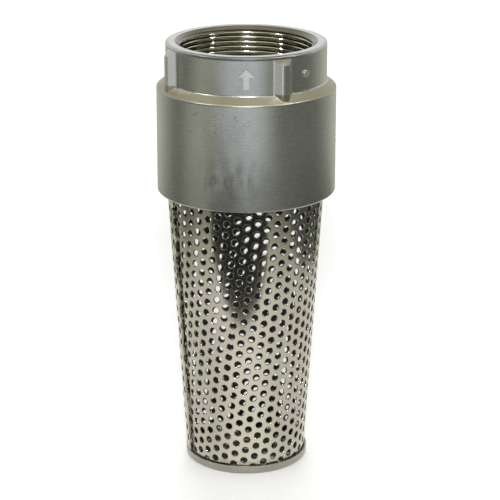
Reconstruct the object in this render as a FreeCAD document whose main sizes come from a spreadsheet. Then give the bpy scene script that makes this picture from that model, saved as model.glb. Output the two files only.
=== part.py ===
import FreeCAD, Part

# Foot valve for a 2 inch pipe: threaded cast body, spring-loaded poppet and perforated strainer.
#
# Millimetres. +Z is up, along the flow. The origin is the centre of the base that the valve stands on,
# and -Y is the front, where the cast flow arrow is. Azimuths are measured from the front towards +X.

import math
import os
import re

import Sketcher

V = FreeCAD.Vector

SIZES = {
    # casting
    "total_height": 190.0,
    "neck_radius": 34.6,
    "neck_bottom_z": 173.6,
    "shoulder_z": 170.4,
    "body_radius": 38.65,
    "body_bottom_z": 124.5,
    "chamber_radius": 31.5,
    "chamber_top_z": 170.0,
    "gasket_shoulder_z": 139.5,
    "throat_radius": 27.6,
    "relief_radius": 30.2,
    "relief_height": 2.0,
    "overcut": 1.0,
    # pipe thread, 11.5 threads per inch, cut parallel
    "pipe_minor_radius": 28.4,
    "pipe_thread_depth": 0.95,
    "pipe_root_half_width": 0.08,
    "pipe_flank_angle": 22.5,
    "pipe_pitch": 2.209,
    "pipe_thread_length": 17.0,
    "mouth_radius": 30.6,
    # M72 x 2 thread that holds the seat ring and the strainer
    "seat_minor_radius": 34.92,
    "seat_thread_depth": 1.08,
    "seat_pitch": 2.0,
    "metric_flank_angle": 30.0,
    "seat_allowance": 0.1,
    "inner_root_half_width": 0.12,
    "outer_root_half_width": 0.28,
    # wrench lugs
    "lug_azimuth": 26.0,
    "lug_reach": 37.7,
    "lug_root_width": 9.4,
    "lug_tip_width": 3.0,
    "lug_bottom_z": 169.0,
    "lug_top_z": 188.7,
    "lug_top_fall": 2.87,
    "lug_count": 4.0,
    "lug_embed": 1.2,
    # roundings of the casting
    "lug_tip_rounding": 0.7,
    "lug_root_rounding": 1.4,
    "lug_foot_rounding": 0.6,
    "shoulder_rounding": 0.8,
    "rim_rounding": 1.0,
    "bottom_chamfer": 0.6,
    # raised marks
    "mark_relief": 0.7,
    "mark_embed": 1.5,
    "arrow_z": 181.0,
    "arrow_length": 8.6,
    "arrow_head_width": 7.0,
    "arrow_shaft_width": 2.4,
    "dot_azimuth": 46.0,
    "dot_radius": 1.6,
    # poppet
    "seat_face_z": 140.5,
    "seat_bore_radius": 20.5,
    "seat_lip_inner": 21.5,
    "seat_lip_outer": 23.5,
    "seal_radius": 25.0,
    "seal_thickness": 2.0,
    "disc_radius": 25.5,
    "disc_thickness": 4.0,
    "disc_boss_radius": 14.0,
    "disc_bevel": 1.0,
    "recess_radius": 14.2,
    "recess_depth": 0.5,
    "recess_bevel": 0.2,
    "retainer_radius": 19.5,
    "retainer_thickness": 3.0,
    "retainer_bevel": 1.5,
    "stem_radius": 4.0,
    "stem_flange_radius": 7.4,
    "stem_flange_height": 3.0,
    "stem_top_z": 170.5,
    "stem_bottom_z": 127.5,
    "stem_bevel": 0.7,
    "stem_thread_length": 9.5,
    "stem_pitch": 1.25,
    "stem_thread_depth": 0.7,
    "stem_root_half_width": 0.075,
    "washer_radius": 7.4,
    "washer_thickness": 2.0,
    "washer_gap": 0.1,
    "washer_split": 1.0,
    "nut_bevel_inset": 0.2,
    "nut_bevel_reach": 3.0,
    "nut_bevel_fall": 1.7,
    "nut_flats": 13.0,
    "nut_height": 6.5,
    "fit_gap": 0.05,
    # guide
    "guide_ring_outer": 31.3,
    "guide_ring_inner": 27.6,
    "guide_arm_height": 4.0,
    "guide_arm_width": 4.0,
    "guide_arm_count": 3.0,
    "guide_hub_radius": 7.5,
    "guide_hub_bottom_z": 160.0,
    "guide_hub_bevel": 0.6,
    "bush_radius": 5.2,
    "bush_flange_radius": 6.6,
    "bush_flange_height": 0.8,
    # spring
    "spring_wire": 1.2,
    "spring_bottom_radius": 13.0,
    "spring_top_radius": 10.0,
    "spring_turns": 5.0,
    # seat ring, gasket and strainer collar
    "seat_ring_bottom_z": 131.0,
    "seat_ring_top_z": 138.0,
    "seat_ring_bevel": 1.5,
    "seat_lip_fall": 1.0,
    "gasket_inner_radius": 31.7,
    "gasket_gap": 0.3,
    "collar_bottom_z": 126.0,
    "collar_top_z": 130.5,
    "collar_bore_radius": 27.5,
    "slot_width": 5.0,
    "slot_depth": 2.5,
    "slot_reach": 6.0,
    # strainer
    "cone_base_radius": 25.83,
    "cone_slope": 0.0636,
    "sheet": 0.8,
    "hole_radius": 1.5,
    "hole_pitch": 5.086,
    "hole_margin": 0.9,
    "lattice_turn": 6.62,
    "lattice_height": 60.0,
    "lattice_across": 1.65,
    "lattice_along": 0.14,
    "seam_azimuth": -66.5,
    "lap_width": 9.0,
    # base pan
    "pan_radius": 27.16,
    "pan_height": 3.8,
    "pan_foot_inset": 1.0,
    "pan_foot_height": 0.9,
    "pan_draft": 0.1,
    "pan_holes_per_ring": 6.0,
    "pan_ring_step": 5.0,
    "pan_ring_count": 4.0,
    # weld tacks
    "tack_leg": 1.6,
    "collar_tack_leg": 0.8,
    "tack_angle": 16.0,
    "tack_count": 6.0,
}

doc = FreeCAD.newDocument("foot_valve")
sheet = doc.addObject("Spreadsheet::Sheet", "sizes")
for row, (alias, size) in enumerate(SIZES.items(), 1):
    sheet.set(f"A{row}", alias)
    sheet.set(f"B{row}", str(size))
    sheet.setAlias(f"B{row}", alias)
doc.recompute()

NODES = []


def bound(expression):
    """The expression with each alias written as a cell of the sheet."""
    return re.sub(r"[a-z][a-z0-9_]*", r"sizes.\g<0>", expression)


def size_of(expression):
    """The number that an expression on the sheet's aliases gives."""
    return float(sheet.evalExpression(bound(expression)))


def bind(thing, field, expression):
    thing.setExpression(field, bound(expression))


def new_body(name):
    body = doc.addObject("PartDesign::Body", name)
    body.Label = name
    body.AllowCompound = True
    NODES.append(body)
    return body


def origin_feature(body, role):
    return next(f for f in body.Origin.OriginFeatures if f.Role == role)


def new_sketch(body, name, plane="XZ_Plane", height=None, turn=0.0):
    """A sketch on one of the body's own planes, raised along that plane's normal and turned about it."""
    sketch = body.newObject("Sketcher::SketchObject", name)
    sketch.AttachmentSupport = [(origin_feature(body, plane), "")]
    sketch.MapMode = "FlatFace"
    sketch.AttachmentOffset = FreeCAD.Placement(V(0, 0, 0), FreeCAD.Rotation(V(0, 0, 1), turn))
    if height:
        bind(sketch, "AttachmentOffset.Base.z", height)
    return sketch


def fix_point(sketch, geometry, vertex, x, y):
    """Hold a point of the sketch at two expressions."""
    for kind, expression in (("DistanceX", x), ("DistanceY", y)):
        row = sketch.addConstraint(
            Sketcher.Constraint(kind, -1, 1, geometry, vertex, size_of(expression))
        )
        sketch.setExpression(f"Constraints[{row}]", bound(expression))


def outline(sketch, corners):
    """A closed outline with straight sides; each corner is a pair of expressions."""
    points = [V(size_of(x), size_of(y), 0) for x, y in corners]
    first = sketch.GeometryCount
    count = len(points)
    for i in range(count):
        sketch.addGeometry(Part.LineSegment(points[i], points[(i + 1) % count]))
    for i in range(count):
        following = first + (i + 1) % count
        sketch.addConstraint(Sketcher.Constraint("Coincident", first + i, 2, following, 1))
    for i, (x, y) in enumerate(corners):
        fix_point(sketch, first + i, 1, x, y)
    return sketch


def circle(sketch, x, y, radius):
    row = sketch.addGeometry(Part.Circle(V(size_of(x), size_of(y), 0), V(0, 0, 1), size_of(radius)))
    fix_point(sketch, row, 3, x, y)
    held = sketch.addConstraint(Sketcher.Constraint("Radius", row, size_of(radius)))
    sketch.setExpression(f"Constraints[{held}]", bound(radius))
    return sketch


def revolve(body, name, corners, cut=False, angle=360.0):
    """Turn an outline of (radius, height) corners about the valve's axis."""
    sketch = outline(new_sketch(body, name + "_outline"), corners)
    kind = "PartDesign::Groove" if cut else "PartDesign::Revolution"
    turned = body.newObject(kind, name)
    turned.Profile = sketch
    turned.ReferenceAxis = (sketch, ["V_Axis"])
    turned.Angle = angle
    turned.Midplane = angle < 360.0
    return turned


def pad(body, name, sketch, length):
    feature = body.newObject("PartDesign::Pad", name)
    feature.Profile = sketch
    bind(feature, "Length", length)
    return feature


def pocket(body, name, sketch, depth, reverse=False):
    feature = body.newObject("PartDesign::Pocket", name)
    feature.Profile = sketch
    feature.Reversed = reverse
    bind(feature, "Length", depth)
    return feature


def around(body, name, feature, occurrences):
    """Repeat a feature evenly about the valve's axis."""
    pattern = body.newObject("PartDesign::PolarPattern", name)
    pattern.Originals = [feature]
    pattern.Axis = (origin_feature(body, "Z_Axis"), [""])
    pattern.Angle = 360.0
    bind(pattern, "Occurrences", occurrences)
    body.Tip = pattern
    return pattern


def groove_profile(surface, root, root_half_width, flank_angle, height):
    """Corners of a thread groove centred on a height, from just off the surface to the root."""
    over = 0.25
    depth = abs(size_of(root) - size_of(surface))
    beyond = f"{surface} - {over}" if size_of(root) > size_of(surface) else f"{surface} + {over}"
    slope = math.tan(math.radians(size_of(flank_angle)))
    mouth = size_of(root_half_width) + (depth + over) * slope
    return [
        (beyond, f"{height} - {mouth}"),
        (root, f"{height} - {root_half_width}"),
        (root, f"{height} + {root_half_width}"),
        (beyond, f"{height} + {mouth}"),
    ]


def helical_thread(body, name, profile, pitch, length):
    """Cut a groove of that profile along a helix about the valve's axis."""
    sketch = outline(new_sketch(body, name + "_profile"), profile)
    groove = body.newObject("PartDesign::SubtractiveHelix", name)
    groove.Profile = sketch
    groove.ReferenceAxis = (sketch, ["V_Axis"])
    groove.Mode = 0
    bind(groove, "Pitch", pitch)
    bind(groove, "Height", length)


def ring_thread(body, name, profile, pitch, count):
    """Cut grooves of that profile as rings about the valve's axis, a pitch apart."""
    groove = revolve(body, name + "_groove", profile, cut=True)
    pattern = body.newObject("PartDesign::LinearPattern", name)
    pattern.Originals = [groove]
    pattern.Direction = (origin_feature(body, "Z_Axis"), [""])
    bind(pattern, "Length", f"{count - 1} * {pitch}")
    pattern.Occurrences = count
    body.Tip = pattern


def dress(body, kind, name, wanted):
    """Fillet or chamfer the edges of the last feature that wanted() picks, by the size of that name."""
    doc.recompute()
    base = body.Tip
    edges = [f"Edge{i}" for i, edge in enumerate(base.Shape.Edges, 1) if wanted(edge)]
    feature = body.newObject("PartDesign::" + kind, name)
    feature.Base = (base, edges)
    bind(feature, "Radius" if kind == "Fillet" else "Size", name)


def ring_edge(radius, height):
    """Picks full circles about the valve's axis at a radius and height."""

    def wanted(edge):
        curve = edge.Curve
        if not isinstance(curve, Part.Circle):
            return False
        on_axis = math.hypot(curve.Center.x, curve.Center.y) < 0.01
        return on_axis and abs(curve.Radius - radius) < 0.02 and abs(curve.Center.z - height) < 0.02

    return wanted


# ---------------------------------------------------------------- cast body


def make_valve_body():
    body = new_body("valve_body")
    revolve(
        body,
        "casting",
        [
            ("seat_minor_radius", "body_bottom_z"),
            ("body_radius", "body_bottom_z"),
            ("body_radius", "shoulder_z"),
            ("neck_radius", "neck_bottom_z"),
            ("neck_radius", "total_height"),
            ("mouth_radius", "total_height"),
            ("pipe_minor_radius", "total_height - mouth_radius + pipe_minor_radius"),
            ("pipe_minor_radius", "total_height - pipe_thread_length"),
            ("relief_radius", "total_height - pipe_thread_length"),
            ("relief_radius", "total_height - pipe_thread_length - relief_height"),
            ("throat_radius", "total_height - pipe_thread_length - relief_height"),
            ("throat_radius", "chamber_top_z"),
            ("chamber_radius", "chamber_top_z"),
            ("chamber_radius", "gasket_shoulder_z"),
            ("seat_minor_radius", "gasket_shoulder_z"),
        ],
    )
    lug_turn = size_of("lug_azimuth") - 90.0
    lug = outline(
        new_sketch(body, "lug_section", "XY_Plane", "lug_bottom_z", lug_turn),
        [
            ("neck_radius - lug_embed", "-lug_root_width / 2"),
            ("lug_reach", "-lug_tip_width / 2"),
            ("lug_reach", "lug_tip_width / 2"),
            ("neck_radius - lug_embed", "lug_root_width / 2"),
        ],
    )
    first_lug = pad(body, "lug", lug, "lug_top_z - lug_bottom_z")
    around(body, "lugs", first_lug, "lug_count")
    revolve(
        body,
        "lug_tops",
        [
            ("neck_radius", "lug_top_z"),
            ("lug_reach + overcut", "lug_top_z"),
            ("lug_reach + overcut", "lug_top_z - lug_top_fall"),
        ],
        cut=True,
    )
    dress(body, "Fillet", "lug_tip_rounding", lug_line(size_of("lug_reach")))
    dress(body, "Fillet", "lug_root_rounding", lug_line(size_of("neck_radius")))
    dress(body, "Fillet", "lug_foot_rounding", lug_foot)
    dress(body, "Fillet", "shoulder_rounding", ring_edge(size_of("body_radius"), size_of("shoulder_z")))
    dress(body, "Fillet", "rim_rounding", ring_edge(size_of("neck_radius"), size_of("total_height")))
    make_marks(body)
    dress(body, "Chamfer", "bottom_chamfer", ring_edge(size_of("body_radius"), size_of("body_bottom_z")))
    pipe_groove = groove_profile(
        "pipe_minor_radius",
        "pipe_minor_radius + pipe_thread_depth",
        "pipe_root_half_width",
        "pipe_flank_angle",
        "total_height - pipe_thread_length - 0.35 * pipe_pitch",
    )
    helical_thread(body, "pipe_thread", pipe_groove, "pipe_pitch", "pipe_thread_length + 1.2 * pipe_pitch")
    seat_groove = groove_profile(
        "seat_minor_radius",
        "seat_minor_radius + seat_thread_depth",
        "inner_root_half_width",
        "metric_flank_angle",
        "body_bottom_z + seat_pitch / 2",
    )
    ring_thread(body, "seat_thread", seat_groove, "seat_pitch", 7)


def lug_line(radius):
    """Picks the upright edges of the lugs at a distance from the axis."""

    def wanted(edge):
        if not isinstance(edge.Curve, Part.Line) or abs(edge.tangentAt(edge.FirstParameter).z) < 0.99:
            return False
        middle = edge.valueAt((edge.FirstParameter + edge.LastParameter) / 2)
        return abs(math.hypot(middle.x, middle.y) - radius) < 0.1

    return wanted


def lug_foot(edge):
    """Picks the edges where the neck and the lugs meet the sloping shoulder."""
    middle = edge.valueAt((edge.FirstParameter + edge.LastParameter) / 2)
    low = size_of("shoulder_z") - 0.2
    high = size_of("neck_bottom_z") + 0.1
    return low < middle.z < high and math.hypot(middle.x, middle.y) < size_of("body_radius") - 0.3


def make_marks(body):
    """A plain arrow that points along the flow, and a plain dot, raised on the neck."""
    arrow = new_sketch(body, "arrow_outline", "XZ_Plane", "neck_radius - mark_embed")
    neck = "arrow_z + arrow_length * 0.1"
    outline(
        arrow,
        [
            ("-arrow_shaft_width / 2", "arrow_z - arrow_length / 2"),
            ("arrow_shaft_width / 2", "arrow_z - arrow_length / 2"),
            ("arrow_shaft_width / 2", neck),
            ("arrow_head_width / 2", neck),
            ("0", "arrow_z + arrow_length / 2"),
            ("-arrow_head_width / 2", neck),
            ("-arrow_shaft_width / 2", neck),
        ],
    )
    pad(body, "flow_arrow", arrow, "mark_embed + mark_relief")
    dot = new_sketch(body, "dot_outline", "XZ_Plane")
    turn = FreeCAD.Rotation(V(0, 1, 0), size_of("dot_azimuth"))
    reach = turn.multVec(V(0, 0, size_of("neck_radius - mark_embed")))
    dot.AttachmentOffset = FreeCAD.Placement(reach, turn)
    circle(dot, "0", "arrow_z", "dot_radius")
    pad(body, "cast_dot", dot, "mark_embed + mark_relief")


# ---------------------------------------------------------------- poppet


def make_valve_disc():
    """A turned plate with a boss that centres the seal."""
    body = new_body("valve_disc")
    revolve(
        body,
        "plate",
        [
            ("stem_radius + fit_gap", "seat_face_z"),
            ("disc_boss_radius", "seat_face_z"),
            ("disc_boss_radius", "seat_face_z + seal_thickness"),
            ("disc_radius", "seat_face_z + seal_thickness"),
            ("disc_radius", "seat_face_z + seal_thickness + disc_thickness - disc_bevel"),
            ("disc_radius - disc_bevel", "seat_face_z + seal_thickness + disc_thickness"),
            ("recess_radius + recess_bevel", "seat_face_z + seal_thickness + disc_thickness"),
            ("recess_radius", "seat_face_z + seal_thickness + disc_thickness - recess_depth"),
            ("stem_radius + fit_gap", "seat_face_z + seal_thickness + disc_thickness - recess_depth"),
        ],
    )


def make_disc_seal():
    body = new_body("disc_seal")
    revolve(
        body,
        "seal_ring",
        [
            ("disc_boss_radius", "seat_face_z"),
            ("seal_radius", "seat_face_z"),
            ("seal_radius", "seat_face_z + seal_thickness"),
            ("disc_boss_radius", "seat_face_z + seal_thickness"),
        ],
    )


def make_seal_retainer():
    """The plate that clamps the seal against the disc, inside the seat's bore."""
    body = new_body("seal_retainer")
    revolve(
        body,
        "plate",
        [
            ("stem_radius + fit_gap", "seat_face_z - retainer_thickness"),
            ("retainer_radius - retainer_bevel", "seat_face_z - retainer_thickness"),
            ("retainer_radius", "seat_face_z - retainer_thickness + retainer_bevel"),
            ("retainer_radius", "seat_face_z"),
            ("stem_radius + fit_gap", "seat_face_z"),
        ],
    )


def make_valve_stem():
    """The guide rod, with the flange that clamps the disc and stops the lift, and a threaded tail."""
    body = new_body("valve_stem")
    disc_top = "seat_face_z + seal_thickness + disc_thickness - recess_depth"
    revolve(
        body,
        "rod",
        [
            ("0", "stem_bottom_z"),
            ("stem_radius - stem_bevel", "stem_bottom_z"),
            ("stem_radius", "stem_bottom_z + stem_bevel"),
            ("stem_radius", disc_top),
            ("stem_flange_radius", disc_top),
            ("stem_flange_radius", disc_top + " + stem_flange_height"),
            ("stem_radius", disc_top + " + stem_flange_height"),
            ("stem_radius", "stem_top_z - stem_bevel"),
            ("stem_radius - stem_bevel", "stem_top_z"),
            ("0", "stem_top_z"),
        ],
    )
    tail_groove = groove_profile(
        "stem_radius",
        "stem_radius - stem_thread_depth",
        "stem_root_half_width",
        "metric_flank_angle",
        "stem_bottom_z - stem_pitch",
    )
    helical_thread(body, "tail_thread", tail_groove, "stem_pitch", "stem_thread_length + stem_pitch")


def make_spring_washer():
    body = new_body("spring_washer")
    revolve(
        body,
        "washer",
        [
            ("stem_radius + washer_gap", "seat_face_z - retainer_thickness - washer_thickness"),
            ("washer_radius", "seat_face_z - retainer_thickness - washer_thickness"),
            ("washer_radius", "seat_face_z - retainer_thickness"),
            ("stem_radius + washer_gap", "seat_face_z - retainer_thickness"),
        ],
    )
    split = outline(
        new_sketch(body, "split_outline", "XY_Plane", "seat_face_z - retainer_thickness"),
        [
            ("0", "-washer_split / 2"),
            ("washer_radius + overcut", "washer_split / 2"),
            ("washer_radius + overcut", "washer_split * 1.5"),
            ("0", "washer_split / 2"),
        ],
    )
    pocket(body, "split", split, "washer_thickness")


def make_stem_nut():
    """A hexagon nut, chamfered on both faces, on the stem's threaded tail."""
    body = new_body("stem_nut")
    top = "seat_face_z - retainer_thickness - washer_thickness"
    hexagon = new_sketch(body, "hexagon", "XY_Plane", top + " - nut_height")
    corners = []
    for i in range(6):
        along = math.cos(math.radians(60 * i)) / math.cos(math.radians(30)) / 2
        across = math.sin(math.radians(60 * i)) / math.cos(math.radians(30)) / 2
        corners.append((f"nut_flats * ({along:.9f})", f"nut_flats * ({across:.9f})"))
    outline(hexagon, corners)
    pad(body, "hexagon_prism", hexagon, "nut_height")
    beyond = "nut_flats / 2 - nut_bevel_inset + nut_bevel_reach"
    for name, face, inward in (("top_bevel", top, "-"), ("bottom_bevel", top + " - nut_height", "+")):
        revolve(
            body,
            name,
            [
                ("nut_flats / 2 - nut_bevel_inset", face),
                (beyond, face),
                (beyond, f"{face} {inward} nut_bevel_fall"),
            ],
            cut=True,
        )
    bore = circle(
        new_sketch(body, "bore_outline", "XY_Plane", top),
        "0",
        "0",
        "stem_radius + fit_gap",
    )
    pocket(body, "bore", bore, "nut_height")


# ---------------------------------------------------------------- guide and spring


def make_stem_guide():
    """A ring under the casting's shoulder, with three arms and a hub that guides the stem."""
    body = new_body("stem_guide")
    revolve(
        body,
        "ring",
        [
            ("guide_ring_inner", "chamber_top_z - guide_arm_height"),
            ("guide_ring_outer", "chamber_top_z - guide_arm_height"),
            ("guide_ring_outer", "chamber_top_z"),
            ("guide_ring_inner", "chamber_top_z"),
        ],
    )
    arm_outline = outline(
        new_sketch(body, "arm_outline", "XY_Plane", "chamber_top_z - guide_arm_height", -90.0),
        [
            ("bush_radius + overcut", "-guide_arm_width / 2"),
            ("guide_ring_inner + overcut", "-guide_arm_width / 2"),
            ("guide_ring_inner + overcut", "guide_arm_width / 2"),
            ("bush_radius + overcut", "guide_arm_width / 2"),
        ],
    )
    first_arm = pad(body, "arm", arm_outline, "guide_arm_height")
    around(body, "arms", first_arm, "guide_arm_count")
    revolve(
        body,
        "hub",
        [
            ("bush_radius", "guide_hub_bottom_z"),
            ("guide_hub_radius - guide_hub_bevel", "guide_hub_bottom_z"),
            ("guide_hub_radius", "guide_hub_bottom_z + guide_hub_bevel"),
            ("guide_hub_radius", "chamber_top_z"),
            ("bush_radius", "chamber_top_z"),
        ],
    )


def make_guide_bush():
    """A flanged plastic bush pressed into the guide's hub."""
    body = new_body("guide_bush")
    revolve(
        body,
        "bush",
        [
            ("stem_radius + fit_gap", "guide_hub_bottom_z"),
            ("bush_radius", "guide_hub_bottom_z"),
            ("bush_radius", "chamber_top_z"),
            ("bush_flange_radius", "chamber_top_z"),
            ("bush_flange_radius", "chamber_top_z + bush_flange_height"),
            ("stem_radius + fit_gap", "chamber_top_z + bush_flange_height"),
        ],
    )


def make_return_spring():
    """A conical coil of round wire, between the disc and the guide's arms."""
    bottom = size_of("seat_face_z + seal_thickness + disc_thickness - recess_depth")
    top = size_of("chamber_top_z - guide_arm_height")
    wire = size_of("spring_wire")
    rise = top - bottom - wire
    lean = math.atan2(size_of("spring_bottom_radius - spring_top_radius"), rise)
    coil = doc.addObject("Part::Helix", "coil")
    bind(coil, "Radius", "spring_bottom_radius")
    coil.Height = rise
    coil.Pitch = rise / size_of("spring_turns")
    coil.Angle = -math.degrees(lean)
    coil.Placement.Base = V(0, 0, bottom + wire / 2)
    section = doc.addObject("Part::Circle", "wire_section")
    bind(section, "Radius", "spring_wire / 2")
    section.Placement = FreeCAD.Placement(
        V(size_of("spring_bottom_radius"), 0, bottom + wire / 2), FreeCAD.Rotation(V(1, 0, 0), 90)
    )
    spring = doc.addObject("Part::Sweep", "return_spring")
    spring.Label = "return_spring"
    spring.Sections = [section]
    spring.Spine = (coil, ["Edge1"])
    spring.Solid = True
    spring.Frenet = True
    NODES.append(spring)


# ---------------------------------------------------------------- seat, gasket and collar


def make_seat_ring():
    """The screwed ring with the raised lip that the seal closes on."""
    body = new_body("seat_ring")
    outer = "seat_minor_radius + seat_thread_depth - seat_allowance"
    revolve(
        body,
        "ring",
        [
            ("seat_bore_radius", "seat_ring_bottom_z"),
            (outer, "seat_ring_bottom_z"),
            (outer, "seat_ring_top_z"),
            ("seat_lip_outer + seat_ring_bevel", "seat_ring_top_z"),
            ("seat_lip_outer", "seat_face_z"),
            ("seat_lip_inner", "seat_face_z"),
            ("seat_bore_radius", "seat_face_z - seat_lip_fall"),
        ],
    )
    outer_seat_thread(body, "body_bottom_z + 3 * seat_pitch", 5)
    drive_slots(body, "seat_ring_bottom_z")


def make_body_gasket():
    body = new_body("body_gasket")
    revolve(
        body,
        "gasket",
        [
            ("gasket_inner_radius", "seat_ring_top_z"),
            ("seat_minor_radius - gasket_gap", "seat_ring_top_z"),
            ("seat_minor_radius - gasket_gap", "gasket_shoulder_z"),
            ("gasket_inner_radius", "gasket_shoulder_z"),
        ],
    )


def make_strainer_collar():
    """The screwed ring that the strainer hangs from."""
    body = new_body("strainer_collar")
    outer = "seat_minor_radius + seat_thread_depth - seat_allowance"
    revolve(
        body,
        "ring",
        [
            ("collar_bore_radius", "collar_bottom_z"),
            (outer, "collar_bottom_z"),
            (outer, "collar_top_z"),
            ("collar_bore_radius", "collar_top_z"),
        ],
    )
    outer_seat_thread(body, "body_bottom_z + seat_pitch", 3)


def outer_seat_thread(body, first, count):
    """The M72 x 2 thread of a ring: its grooves take the casting's ridges."""
    groove = groove_profile(
        "seat_minor_radius + seat_thread_depth - seat_allowance",
        "seat_minor_radius - seat_allowance",
        "outer_root_half_width",
        "metric_flank_angle",
        first,
    )
    ring_thread(body, "seat_thread", groove, "seat_pitch", count)


def drive_slots(body, face):
    """Four slots in a ring's lower face, for the wrench that screws it in."""
    slot = outline(
        new_sketch(body, "slot_outline", "XY_Plane", face),
        [
            ("seat_bore_radius - overcut", "-slot_width / 2"),
            ("seat_bore_radius + slot_reach", "-slot_width / 2"),
            ("seat_bore_radius + slot_reach", "slot_width / 2"),
            ("seat_bore_radius - overcut", "slot_width / 2"),
        ],
    )
    first = pocket(body, "slot", slot, "slot_depth", reverse=True)
    around(body, "slots", first, "lug_count")


# ---------------------------------------------------------------- strainer


def cone_radius(z):
    """Outer radius of the strainer at a height."""
    return size_of("cone_base_radius") + z * size_of("cone_slope")


def hole_places():
    """(azimuth in degrees, height) of each hole: a staggered lattice on the flat sheet, rolled up.

    The flat sheet is a sector about the cone's apex. Its front generator is the flat Y axis, and one
    column of holes passes near that generator at the lattice's height, turned from it by a few degrees.
    """
    half_angle = math.atan(size_of("cone_slope"))
    narrowing = math.sin(half_angle)
    apex = size_of("cone_base_radius") / narrowing
    pitch = size_of("hole_pitch")
    column = pitch * math.sin(math.radians(60))
    turn = math.radians(size_of("lattice_turn"))
    room = size_of("hole_radius + hole_margin")
    low = size_of("sheet") / math.cos(half_angle) + room
    high = size_of("collar_bottom_z") / math.cos(half_angle) - room
    start = size_of("seam_azimuth")
    edge = math.degrees(room / size_of("cone_base_radius"))
    reach = apex + high
    places = []
    for i in range(-int(reach / column), int(reach / column) + 1):
        across = size_of("lattice_across") + i * column
        for j in range(-int(2 * reach / pitch), int(reach / pitch) + 1):
            along = size_of("lattice_along") + (j + 0.5 * (i % 2)) * pitch
            x = across * math.cos(turn) + along * math.sin(turn)
            y = along * math.cos(turn) - across * math.sin(turn) + apex + size_of("lattice_height")
            slant = math.hypot(x, y) - apex
            azimuth = math.degrees(math.atan2(x, y) / narrowing)
            if low < slant < high and start + edge < azimuth < start + 360 - edge:
                places.append((azimuth, slant * math.cos(half_angle)))
    return places


def front_angle(azimuth):
    """The angle about +Z from +X, in radians, of an azimuth from the front towards +X."""
    return math.radians(azimuth - 90.0)


def make_strainer_screen():
    """The rolled, perforated cone, with its lapped seam as a second thickness."""
    bottom = size_of("sheet")
    top = size_of("collar_bottom_z")
    thickness = size_of("sheet")
    height = top - bottom
    half_angle = math.atan(size_of("cone_slope"))
    foot = V(0, 0, bottom)
    low = cone_radius(bottom)
    high = cone_radius(top)
    outer = Part.makeCone(low, high, height, foot)
    inner = Part.makeCone(low - thickness, high - thickness, height, foot)
    lap_angle = math.degrees(size_of("lap_width") / cone_radius((bottom + top) / 2))
    lap_turn = math.degrees(front_angle(size_of("seam_azimuth"))) - lap_angle
    lap_bottom = size_of("pan_height")
    lap_top = size_of("body_bottom_z") - thickness
    lap = Part.makeCone(
        cone_radius(lap_bottom) + thickness,
        cone_radius(lap_top) + thickness,
        lap_top - lap_bottom,
        V(0, 0, lap_bottom),
        V(0, 0, 1),
        lap_angle,
    )
    lap.rotate(V(0, 0, 0), V(0, 0, 1), lap_turn)
    wall = outer.fuse(lap).cut(inner)
    drills = []
    for azimuth, z in hole_places():
        angle = front_angle(azimuth)
        outward = V(math.cos(angle), math.sin(angle), -math.sin(half_angle))
        start = V(cone_radius(z) * math.cos(angle), cone_radius(z) * math.sin(angle), z) - outward * 2
        drills.append(Part.makeCylinder(size_of("hole_radius"), 4, start, outward))
    screen = doc.addObject("Part::Feature", "strainer_screen")
    screen.Label = "strainer_screen"
    screen.Shape = wall.cut(drills)
    NODES.append(screen)
    print("holes in the screen:", len(drills))


def make_base_cap():
    """The pressed pan that closes the strainer, with rings of drain holes."""
    body = new_body("base_cap")
    revolve(
        body,
        "pan",
        [
            ("0", "0"),
            ("pan_radius - pan_foot_inset", "0"),
            ("pan_radius - pan_draft", "pan_foot_height"),
            ("pan_radius", "pan_height"),
            ("pan_radius - sheet", "pan_height"),
            ("pan_radius - sheet", "sheet"),
            ("0", "sheet"),
        ],
    )
    centre = circle(new_sketch(body, "centre_hole", "XY_Plane"), "0", "0", "hole_radius")
    pocket(body, "centre_drain", centre, "sheet", reverse=True)
    for ring in range(1, int(size_of("pan_ring_count")) + 1):
        first = circle(
            new_sketch(body, f"ring_{ring}_hole", "XY_Plane"),
            f"{ring} * pan_ring_step",
            "0",
            "hole_radius",
        )
        drain = pocket(body, f"ring_{ring}_drain", first, "sheet", reverse=True)
        around(body, f"ring_{ring}", drain, f"{ring} * pan_holes_per_ring")


def make_tacks(name, corners):
    """Short fillet welds, evenly spaced around the axis."""
    body = new_body(name)
    first = revolve(body, "tack", corners, angle=size_of("tack_angle"))
    around(body, "tacks", first, "tack_count")


make_valve_body()
make_stem_guide()
make_guide_bush()
make_valve_stem()
make_valve_disc()
make_disc_seal()
make_seal_retainer()
make_spring_washer()
make_stem_nut()
make_return_spring()
make_seat_ring()
make_body_gasket()
make_strainer_collar()
make_strainer_screen()
make_base_cap()
make_tacks(
    "base_tack_welds",
    [
        ("cone_base_radius + sheet * cone_slope - sheet", "sheet"),
        ("cone_base_radius + (sheet + tack_leg) * cone_slope - sheet", "sheet + tack_leg"),
        ("cone_base_radius + sheet * cone_slope - sheet - tack_leg", "sheet"),
    ],
)
make_tacks(
    "collar_tack_welds",
    [
        ("cone_base_radius + collar_bottom_z * cone_slope", "collar_bottom_z"),
        ("cone_base_radius + collar_bottom_z * cone_slope + collar_tack_leg", "collar_bottom_z"),
        (
            "cone_base_radius + (collar_bottom_z - collar_tack_leg) * cone_slope",
            "collar_bottom_z - collar_tack_leg",
        ),
    ],
)
doc.recompute()

faults = [o.Name for o in doc.Objects if "Invalid" in o.State or "Error" in o.State]
faults += [node.Label for node in NODES if node.Shape.isNull() or not node.Shape.isValid()]
if faults:
    raise RuntimeError(f"these objects failed: {faults}")

os.makedirs("parts", exist_ok=True)
for node in NODES:
    node.Shape.exportStep(f"parts/{node.Label}.step")
    print(f"{node.Label}: {len(node.Shape.Solids)} solids, {node.Shape.Volume:.1f} mm3")
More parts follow.
